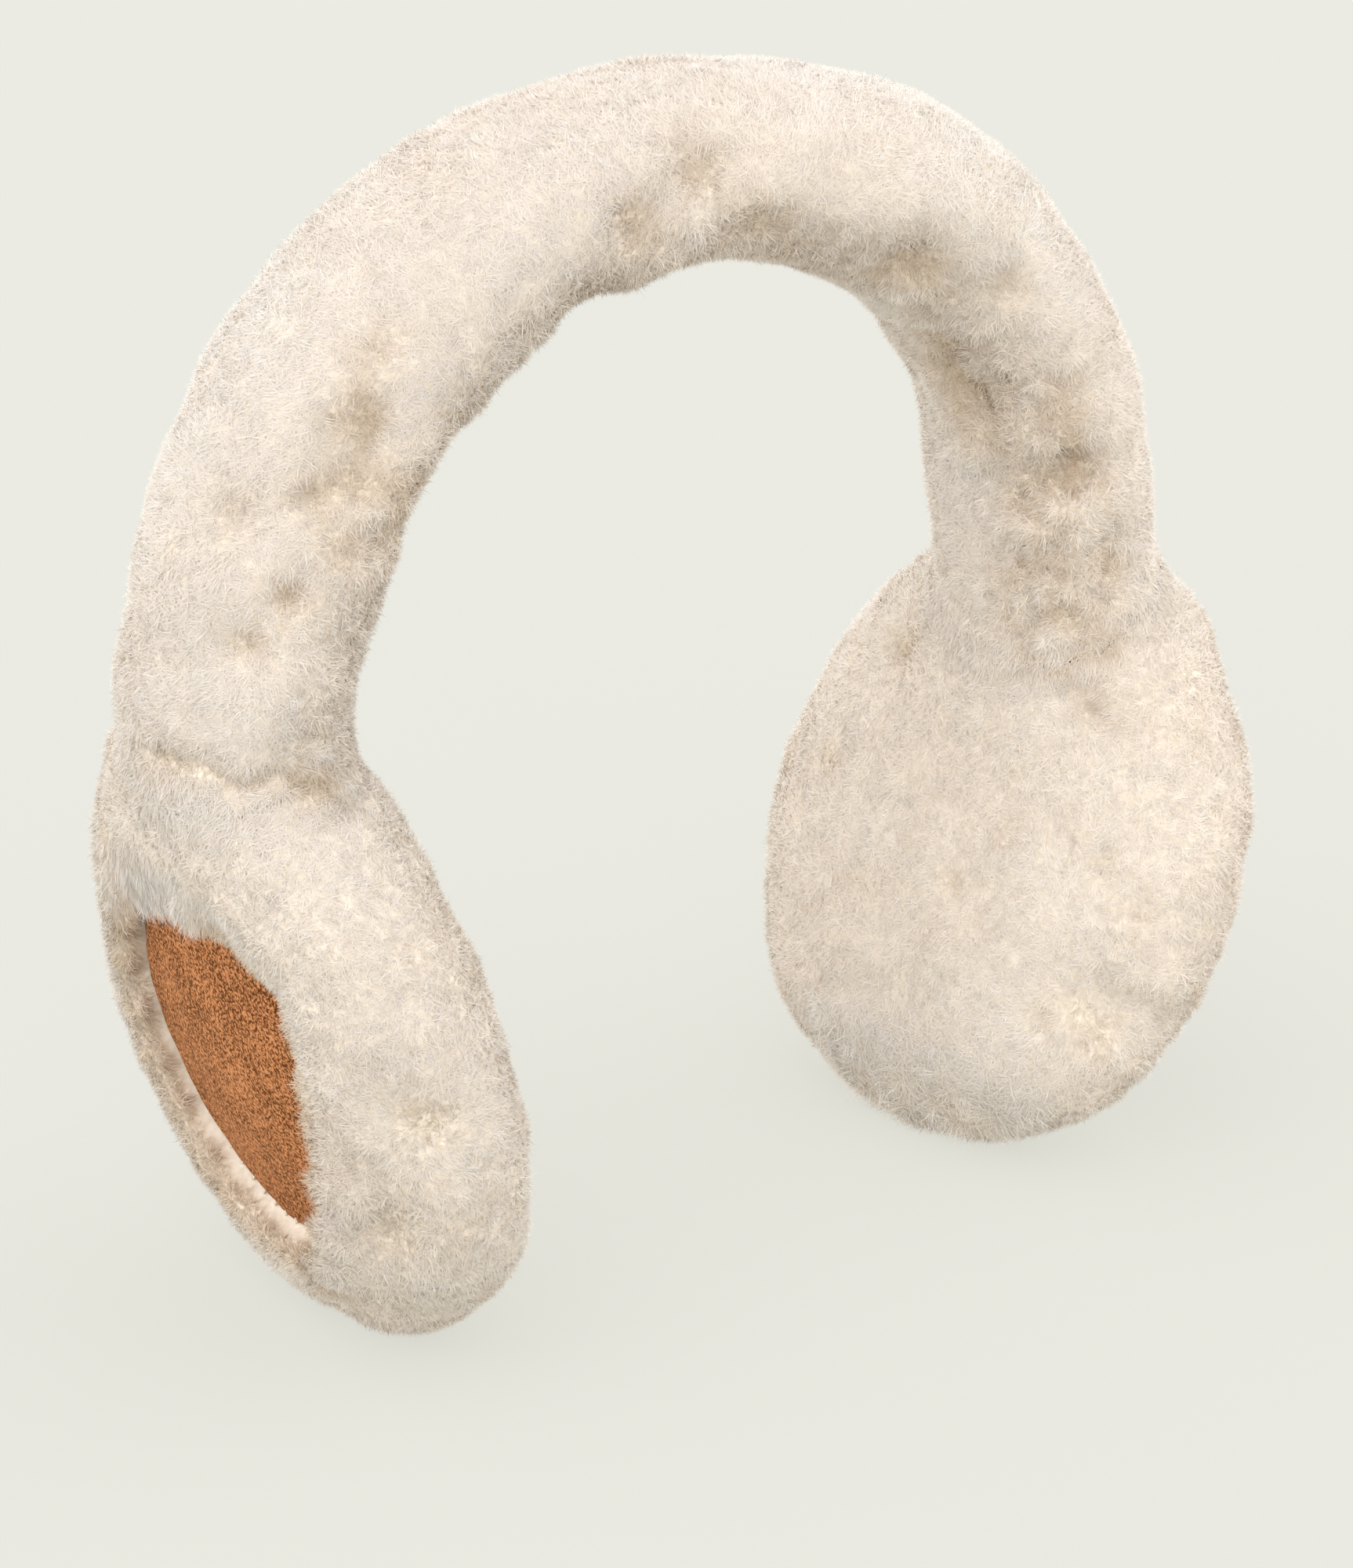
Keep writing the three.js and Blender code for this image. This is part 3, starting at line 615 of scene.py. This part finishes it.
def pile_on(skin, node, count, lay, stretch, weigh, seed):
    """Strands of wool on a skin, as arrays: each a thin spike of three corners that lies
    over along the lay, with its normals and colours."""
    roots, normals, chosen, shares, draw = roots_on(skin, count, weigh, seed)
    lumpy = lumpiness(node, roots)
    middles, core = tufts(roots, LOCK_SIZE, 41)
    to_middle = along_skin(middles - roots, normals)
    depth, out_of_pits = pits_at(node, roots)
    sunk = np.clip(depth / PIT_FULL, 0, 1)
    shaggy = shagginess(node, roots)
    seam = 1 - smooth_step((skin.apart[chosen] * shares[:, :, 0]).sum(1), 1 * MM, 8 * MM)
    combed = lay(roots, normals)
    direction = strand_ways(roots, normals, combed, out_of_pits, seam[:, None], draw)
    full = stretch(roots) * (1 + 0.2 * seam) * (1 + 1.1 * shaggy)
    length, rise = strand_sizes(full, lumpy, core, sunk, draw)
    tips = roots + direction * length[:, None] + normals * rise[:, None]
    cling = 0.25 + 0.2 * lumpy + 0.3 * np.clip(full - 1, 0, 1) + 0.3 * shaggy
    tips += to_middle * cling[:, None]
    blade = unit(np.cross(tips - roots, normals))
    half = blade * (STRAND_WIDTH / 2 * draw.uniform(0.7, 1.3, count))[:, None]
    low = roots - normals * STRAND_ROOT
    corners = np.stack([low - half, low + half, tips], 1)
    corners[:, :, 2] = np.maximum(corners[:, :, 2], STRAND_LOW)
    rounded = to_middle / LOCK_SIZE * (LOCK_ROUND * (0.35 + 0.65 * lumpy))[:, None]
    lean = unit(normals - rounded + 0.09 * draw.normal(0, 1, (count, 3)) + 0.1 * direction)
    corner_normals = np.stack([unit(lean - 0.12 * blade), unit(lean + 0.12 * blade), lean], 1)
    # Painted shade: the wool is darkened to tan where shade falls, in pits, partings, hollows,
    # clots and beside the suede
    tan_and_painted_shade = painted_shade_at(node, roots, lumpy, core, sunk, shaggy)
    colours = strand_colours(roots, tan_and_painted_shade, np.clip(full - 1.1, 0, 0.5) * 2, draw)
    return corners, corner_normals, colours


def painted_shade_at(node, roots, lumpy, core, sunk, shaggy):
    """Painted shade: how far the wool is darkened to tan in pits, between locks and tufts, in
    clots and beside the suede, where shade falls.
    """
    painted_shade = 0.9 * sunk + 0.4 * lumpy * (1 - smooth_step(core, 0, 0.4))
    painted_shade += 0.5 * lumpy * smooth_step(-billows(node, roots), 0.2 * MM, 1.2 * MM)
    painted_shade += 0.2 * shaggy * (1 - smooth_step(core, 0, 0.5)) + edge_painted_shade(node, roots)
    return painted_shade


def edge_painted_shade(node, roots):
    """Painted shade: how far the wool beside the suede, in the wall round it, is darkened to tan,
    from 0 to 1.
    """
    if node == BAND:
        return 0.0
    span, out, radial = round_disc(node.replace("ear_cup", "suede_disc"), roots)
    beside = (1 - smooth_step(span, 1 * MM, 5 * MM)) * (np.abs(out) < 7 * MM)
    return 0.6 * beside * (1 - rim_sides(radial)[0])


def strand_colours(roots, painted_shade, pale, draw):
    """Colours of the strands at their three corners: cream, warmer in patches, paler in long wool,
    lighter to the right as painted light, tan towards the roots and in the odd strand, and
    darkened to tan in hollows as painted shade."""
    warm = 0.5 + 0.45 * drift(roots, 26 * MM, 53) + 0.35 * drift(roots, 8 * MM, 59)
    warm = np.clip(warm, 0, 1)[:, None]
    cream = TIP_COLOUR * (1 - warm) + WARM_COLOUR * warm
    cream = cream * (1 - pale[:, None]) + PALE_COLOUR * pale[:, None]
    tan_and_painted_shade = np.clip(painted_shade + SPECKLE * np.abs(draw.normal(0, 1, len(roots))), 0, 1)[:, None]
    # Painted light and shade: the wool is made darker at the left end and lighter at the right
    # end, for how the light falls on them
    painted_light_to_right = smooth_step(roots[:, :1], -90 * MM, 60 * MM)
    painted_light_tone = PAINTED_LIGHT_TONES[0] * (1 - painted_light_to_right) + PAINTED_LIGHT_TONES[1] * painted_light_to_right
    cream = cream * painted_light_tone * draw.normal(1, 0.03, (len(roots), 1))
    # Painted shade darkens tips and bases towards the root colour in hollows; the speckle is the
    # odd strand's own tan
    tip = cream * (1 - 0.8 * tan_and_painted_shade) + ROOT_AND_PAINTED_SHADE_COLOUR * 0.8 * tan_and_painted_shade
    base = cream * (0.78 - 0.6 * tan_and_painted_shade) + ROOT_AND_PAINTED_SHADE_COLOUR * (0.22 + 0.6 * tan_and_painted_shade)
    return np.clip(np.stack([base, base, tip], 1), 0, 1)


def strand_mesh(name, corners, normals, colours):
    """A mesh of separate triangles, with their own normals and colours."""
    count = len(corners)
    mesh = bpy.data.meshes.new(name)
    mesh.vertices.add(count * 3)
    mesh.vertices.foreach_set("co", corners.astype(np.float32).ravel())
    mesh.loops.add(count * 3)
    mesh.loops.foreach_set("vertex_index", np.arange(count * 3, dtype=np.int32))
    mesh.polygons.add(count)
    mesh.polygons.foreach_set("loop_start", np.arange(0, count * 3, 3, dtype=np.int32))
    mesh.polygons.foreach_set("use_smooth", np.ones(count, bool))
    tint = mesh.color_attributes.new("tint", "FLOAT_COLOR", "POINT")
    opaque = np.concatenate([colours, np.ones((count, 3, 1))], 2)
    tint.data.foreach_set("color", opaque.astype(np.float32).ravel())
    across = math.ceil(math.sqrt(count))
    cells = np.stack([np.arange(count) % across, np.arange(count) // across], 1)
    shape = np.array([(0.1, 0.1), (0.9, 0.1), (0.5, 0.9)])
    spots = (cells[:, None] + shape[None]) / across
    layer = mesh.uv_layers.new(name="OFBake")
    layer.uv.foreach_set("vector", spots.astype(np.float32).ravel())
    mesh.update()
    mesh.validate()
    mesh.normals_split_custom_set_from_vertices(normals.reshape(-1, 3))
    return mesh


def new_material(name, roughness, shine):
    """A material, its nodes and links, and its shader."""
    material = bpy.data.materials.new(name)
    material.use_nodes = True
    nodes, links = material.node_tree.nodes, material.node_tree.links
    shader = nodes["Principled BSDF"]
    shader.inputs["Roughness"].default_value = roughness
    shader.inputs["Specular IOR Level"].default_value = shine
    return material, nodes, links, shader


def set_sheen(shader, weight, roughness, tint):
    """The soft shine of short fibres."""
    shader.inputs["Sheen Weight"].default_value = weight
    shader.inputs["Sheen Roughness"].default_value = roughness
    shader.inputs["Sheen Tint"].default_value = (*tint, 1)


def add_noise(nodes, links, scale, detail=2, roughness=0.5):
    """Noise in the piece's own coordinates."""
    place = nodes.new("ShaderNodeTexCoord")
    noise = nodes.new("ShaderNodeTexNoise")
    noise.inputs["Scale"].default_value = scale
    noise.inputs["Detail"].default_value = detail
    noise.inputs["Roughness"].default_value = roughness
    links.new(place.outputs["Object"], noise.inputs["Vector"])
    return noise.outputs["Fac"]


def add_ramp(nodes, links, share, low, high, dark, light):
    """Colours from dark, where the share is low, to light, where it is high."""
    ramp = nodes.new("ShaderNodeValToRGB")
    dark_end, light_end = ramp.color_ramp.elements
    dark_end.position = low
    dark_end.color = (*dark, 1)
    light_end.position = high
    light_end.color = (*light, 1)
    links.new(share, ramp.inputs["Fac"])
    return ramp.outputs["Color"]


def wool_material():
    """Wool, with the strands' colours, which hold painted shade in hollows and painted light from
    the left end to the right. A little light passes through the strands.
    """
    material, nodes, links, shader = new_material("wool_pile", 0.95, 0.1)
    set_sheen(shader, 0.08, 0.6, (1.0, 0.96, 0.9))
    tint = nodes.new("ShaderNodeVertexColor")
    tint.layer_name = "tint"
    value = nodes.new("ShaderNodeMapRange")
    value.inputs["To Min"].default_value = 0.94
    value.inputs["To Max"].default_value = 1.05
    links.new(add_noise(nodes, links, 400, 3), value.inputs["Value"])
    shade = nodes.new("ShaderNodeVectorMath")
    shade.operation = "SCALE"
    links.new(tint.outputs["Color"], shade.inputs[0])
    links.new(value.outputs["Result"], shade.inputs["Scale"])
    links.new(shade.outputs["Vector"], shader.inputs["Base Color"])
    through = nodes.new("ShaderNodeBsdfTranslucent")
    links.new(shade.outputs["Vector"], through.inputs["Color"])
    mix = nodes.new("ShaderNodeMixShader")
    mix.inputs["Fac"].default_value = LIGHT_THROUGH
    links.new(shader.outputs["BSDF"], mix.inputs[1])
    links.new(through.outputs["BSDF"], mix.inputs[2])
    links.new(mix.outputs["Shader"], nodes["Material Output"].inputs["Surface"])
    return material


def felt_material():
    """The felted wool down at the skin."""
    material, nodes, links, shader = new_material("wool_felt", 0.95, 0.1)
    share = add_noise(nodes, links, 900, 4)
    colour = add_ramp(nodes, links, share, 0.3, 0.7, FELT_DARK, FELT_LIGHT)
    links.new(colour, shader.inputs["Base Color"])
    return material


def suede_material():
    """Short brushed nap: fine light and dark speckle over broad soft patches."""
    material, nodes, links, shader = new_material("suede_nap", 0.95, 0.06)
    set_sheen(shader, 0.05, 0.4, (1.0, 0.72, 0.5))
    nap = add_noise(nodes, links, 1900, 2, 0.65)
    patches = add_noise(nodes, links, 90, 3)
    mix = nodes.new("ShaderNodeMix")
    mix.data_type = "FLOAT"
    mix.inputs["Factor"].default_value = 0.15
    links.new(nap, mix.inputs["A"])
    links.new(patches, mix.inputs["B"])
    share = mix.outputs["Result"]
    colour = add_ramp(nodes, links, share, 0.43, 0.59, SUEDE_DARK, SUEDE_LIGHT)
    links.new(colour, shader.inputs["Base Color"])
    bump = nodes.new("ShaderNodeBump")
    bump.inputs["Strength"].default_value = 0.5
    bump.inputs["Distance"].default_value = 0.12 * MM
    links.new(nap, bump.inputs["Height"])
    links.new(bump.outputs["Normal"], shader.inputs["Normal"])
    return material


def swell(piece, held):
    """Fills a piece with air as cloth, with the held vertices fixed, and keeps what it
    moved, up to the cap."""
    start = read(piece.data)[0]
    group = piece.vertex_groups.new(name="held")
    group.add(np.flatnonzero(held).tolist(), 1.0, "REPLACE")
    cloth = piece.modifiers.new("cloth", "CLOTH")
    cloth.settings.use_pressure = True
    cloth.settings.uniform_pressure_force = PAD_PRESSURE
    cloth.settings.effector_weights.gravity = 0
    cloth.settings.vertex_group_mass = group.name
    for step in range(1, PAD_STEPS + 1):
        bpy.context.scene.frame_set(step)
    evaluated = piece.evaluated_get(bpy.context.evaluated_depsgraph_get())
    filled = read(evaluated.to_mesh())[0]
    evaluated.to_mesh_clear()
    piece.modifiers.clear()
    piece.vertex_groups.clear()
    bpy.context.scene.frame_set(1)
    moved = filled - start
    far = np.linalg.norm(moved, axis=1, keepdims=True)
    move_to(piece.data, start + moved * np.minimum(1, PAD_CAP / np.maximum(far, 1e-9)))


def suede_disc(node, material):
    """A padded disc: its solid with the facets smoothed away, filled as cloth between its
    seams, and lightly uneven."""
    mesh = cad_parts[node].data.copy()
    mesh.materials.clear()
    piece = add_piece(node.replace("disc", "pad"), mesh, material)
    remesh(piece, PAD_VOXEL, PAD_SMOOTH)
    places, normals, _ = read(piece.data)
    span, out, _ = round_disc(node, places)
    middle, axis, _, radii = disc_frame(node)
    fill = PAD_LEAN * (places - middle)[:, 2] / radii.mean() * smooth_step(out, -3 * MM, 0)
    fill -= smooth_step(-span, 1 * MM, 8 * MM) * PAD_DIP
    move_to(piece.data, places + np.outer(fill, axis))
    swell(piece, (normals @ axis < 0.3) | (span > -1.5 * MM))
    rounded = piece.modifiers.new("rounded", "SUBSURF")
    rounded.levels = 1
    apply_modifiers(piece)
    piece.data.shade_smooth()
    places, normals, _ = read(piece.data)
    lift = 0.22 * MM * drift(places, 12 * MM, 61) + 0.07 * MM * drift(places, 3 * MM, 67)
    move_to(piece.data, places + normals * lift[:, None])
    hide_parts(node)
    return piece


def build_band(skin, felt, wool):
    """The headband: its skin, and its pile in two halves."""
    add_felt(BAND, skin, felt)
    even = np.ones(len(skin.places))
    strands = pile_on(skin, BAND, BAND_STRANDS, lay_of_band, lambda points: 1.0, even, 1)
    left = strands[0][:, 0, 0] < np.median(strands[0][:, 0, 0])
    for side, chosen in (("left", left), ("right", ~left)):
        mesh = strand_mesh(f"headband_pile_{side}", *(rows[chosen] for rows in strands))
        add_piece(mesh.name, mesh, wool)


def build_cup(side, skin, felt, wool):
    """One cup: its skin and its pile, thicker round the suede and with none under it."""
    node = f"{side}_ear_cup"
    disc = f"{side}_suede_disc"
    add_felt(node, skin, felt)
    span, out, _ = round_disc(disc, skin.places)
    hidden = (span < 1.5 * MM) & (out < 0.3 * MM) & (out > -10 * MM)
    weigh = (1 + 0.7 * round_rim(disc, skin.places)) * ~hidden

    def stretch(points):
        top, upper_front, lower_front = rim_sides(round_disc(disc, points)[2])
        longer = 0.55 * top - 0.2 * upper_front + 0.3 * lower_front - 0.2
        return 1 + longer * round_rim(disc, points)

    def lay(points, normals):
        return lay_of_cup(node, points, normals)

    strands = pile_on(skin, node, CUP_STRANDS, lay, stretch, weigh, 2 + (side == "right"))
    mesh = strand_mesh(f"{side}_ear_cup_pile", *strands)
    add_piece(mesh.name, mesh, wool)


def thread_material():
    """Cream sewing thread, twisted."""
    material, nodes, links, shader = new_material("sewing_thread", 0.7, 0.3)
    share = add_noise(nodes, links, 3500)
    colour = add_ramp(nodes, links, share, 0.35, 0.65, THREAD_DARK, THREAD_LIGHT)
    links.new(colour, shader.inputs["Base Color"])
    return material


def stitches(side, pad, material):
    """A ring of short stitches over the turned edge of a suede pad, in one mesh."""
    middle, axis, across, radii = disc_frame(f"{side}_suede_disc")
    places, _, triangles = read(pad.data)
    tree = BVHTree.FromPolygons(places.tolist(), triangles.tolist())
    corners, faces = [], []
    for k in range(STITCHES):
        path = []
        for share, aside in STITCH_PATH:
            turn = 2 * math.pi * (k + aside) / STITCHES
            spoke = across @ (np.array((math.cos(turn), math.sin(turn))) * radii)
            above = middle + spoke * share + axis * STITCH_DROP
            hit = tree.ray_cast(above, -axis)[0]
            path.append(np.array(hit) if hit is not None else above - axis * 1.1 * STITCH_DROP)
        add_thread(path, axis, corners, faces)
    mesh = bpy.data.meshes.new(f"{side}_suede_stitches")
    mesh.from_pydata(corners, [], faces)
    mesh.shade_smooth()
    add_piece(mesh.name, mesh, material)


def add_thread(path, axis, corners, faces):
    """Adds one stitch, a thread with closed ends along a path, to a mesh's lists."""
    first = len(corners)
    for i, point in enumerate(path):
        ahead = path[min(i + 1, len(path) - 1)] - path[max(i - 1, 0)]
        ahead = ahead / np.linalg.norm(ahead)
        side = np.cross(ahead, axis)
        up = np.cross(side, ahead)
        radius = THREAD_RADIUS * (0.5 if i in (0, len(path) - 1) else 1)
        for k in range(THREAD_SIDES):
            turn = 2 * math.pi * k / THREAD_SIDES
            spoke = side * math.cos(turn) + up * math.sin(turn)
            corners.append(tuple(point + spoke * radius))
    for i in range(len(path) - 1):
        for k in range(THREAD_SIDES):
            a = first + i * THREAD_SIDES + k
            b = first + i * THREAD_SIDES + (k + 1) % THREAD_SIDES
            faces.append((a, b, b + THREAD_SIDES, a + THREAD_SIDES))
    last = first + (len(path) - 1) * THREAD_SIDES
    faces.append(tuple(first + k for k in reversed(range(THREAD_SIDES))))
    faces.append(tuple(last + k for k in range(THREAD_SIDES)))


def add_camera():
    """The camera, where the photographer's was."""
    azimuth, elevation, roll = map(math.radians, (CAMERA_AZIMUTH, CAMERA_ELEVATION, CAMERA_ROLL))
    back = Vector((
        math.sin(azimuth) * math.cos(elevation),
        -math.cos(azimuth) * math.cos(elevation),
        math.sin(elevation),
    ))
    right = Vector((math.cos(azimuth), math.sin(azimuth), 0))
    turn = Matrix((right, back.cross(right), back)).transposed().to_4x4()
    turn = turn @ Matrix.Rotation(roll, 4, "Z")
    data = bpy.data.cameras.new("camera")
    data.lens = CAMERA_LENS
    data.sensor_width = SENSOR_HEIGHT
    data.clip_start, data.clip_end = 0.05, 50
    camera = bpy.data.objects.new("camera", data)
    bpy.context.scene.collection.objects.link(camera)
    camera.matrix_world = Matrix.Translation(CAMERA_AIM + back * CAMERA_DISTANCE) @ turn
    bpy.context.scene.camera = camera


def add_lamp(name, place, strength, wide):
    """A soft lamp, far away."""
    data = bpy.data.lights.new(name, "SUN")
    data.energy = strength
    data.angle = math.radians(wide)
    lamp = bpy.data.objects.new(name, data)
    bpy.context.scene.collection.objects.link(lamp)
    lamp.location = place
    lamp.rotation_mode = "QUATERNION"
    lamp.rotation_quaternion = place.to_track_quat("Z", "Y")


def add_dome():
    """An even dome of light, brighter at the horizon than overhead."""
    world = bpy.data.worlds.new("studio")
    world.use_nodes = True
    nodes, links = world.node_tree.nodes, world.node_tree.links
    way = nodes.new("ShaderNodeTexCoord")
    split = nodes.new("ShaderNodeSeparateXYZ")
    links.new(way.outputs["Generated"], split.inputs["Vector"])
    strength = nodes.new("ShaderNodeMapRange")
    strength.inputs["To Min"].default_value = DOME_LOW
    strength.inputs["To Max"].default_value = DOME_HIGH
    links.new(split.outputs["Z"], strength.inputs["Value"])
    background = nodes["Background"]
    background.inputs["Color"].default_value = (1, 1, 1, 1)
    links.new(strength.outputs["Result"], background.inputs["Strength"])
    bpy.context.scene.world = world
    bpy.context.scene.view_settings.view_transform = "Standard"


def add_floor():
    """A pale floor, with a glow of its own."""
    half = FLOOR_SIZE / 2
    mesh = bpy.data.meshes.new("floor")
    corners = [(-half, -half, 0), (half, -half, 0), (half, half, 0), (-half, half, 0)]
    mesh.from_pydata(corners, [], [(0, 1, 2, 3)])
    floor = bpy.data.objects.new("floor", mesh)
    bpy.context.scene.collection.objects.link(floor)
    material, _, _, shader = new_material("floor", 1.0, 0.0)
    shader.inputs["Base Color"].default_value = (*FLOOR_COLOUR, 1)
    shader.inputs["Emission Color"].default_value = (*FLOOR_GLOW, 1)
    shader.inputs["Emission Strength"].default_value = 1.0
    mesh.materials.append(material)


add_camera()
add_dome()
add_floor()
for name, lamp in LAMPS.items():
    add_lamp(name, **lamp)
felt = felt_material()
wool = wool_material()
suede = suede_material()
thread = thread_material()
for side in ("left", "right"):
    stitches(side, suede_disc(f"{side}_suede_disc", suede), thread)
skins = fur_skins()
build_band(skins[BAND], felt, wool)
for side in ("left", "right"):
    build_cup(side, skins[f"{side}_ear_cup"], felt, wool)
